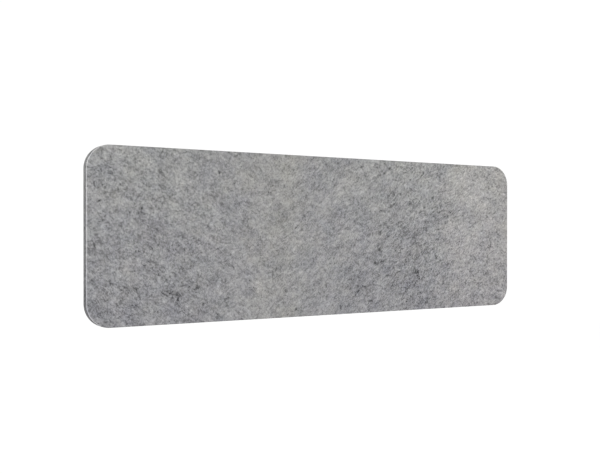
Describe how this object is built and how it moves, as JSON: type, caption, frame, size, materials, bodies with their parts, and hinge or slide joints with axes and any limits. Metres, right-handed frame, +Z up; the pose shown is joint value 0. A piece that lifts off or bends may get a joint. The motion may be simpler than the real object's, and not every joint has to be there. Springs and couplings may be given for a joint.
{
  "type": "acoustic desk divider screen",
  "caption": "Long, low felt screen panel with round corners and softened edges, made of bonded felt boards with mount blocks and threaded inserts in its bottom edge.",
  "frame": {"origin": "middle of the bottom edge, on the bond line between the two felt boards", "axes": "+X along the screen's length, -Y out of the front face, +Z up"},
  "size_m": [1.4, 0.024, 0.45],
  "materials": {
    "felt": "matt marled polyester felt, mid grey",
    "plywood": "raw birch plywood",
    "insert_brass": "plain turned brass"
  },
  "bodies": {
    "root": {"front_felt": "felt", "rear_felt": "felt", "mount_block_left": "plywood", "mount_block_right": "plywood", "insert_left_outer": "insert_brass", "insert_left_inner": "insert_brass", "insert_right_inner": "insert_brass", "insert_right_outer": "insert_brass"}
  },
  "joints": []
}
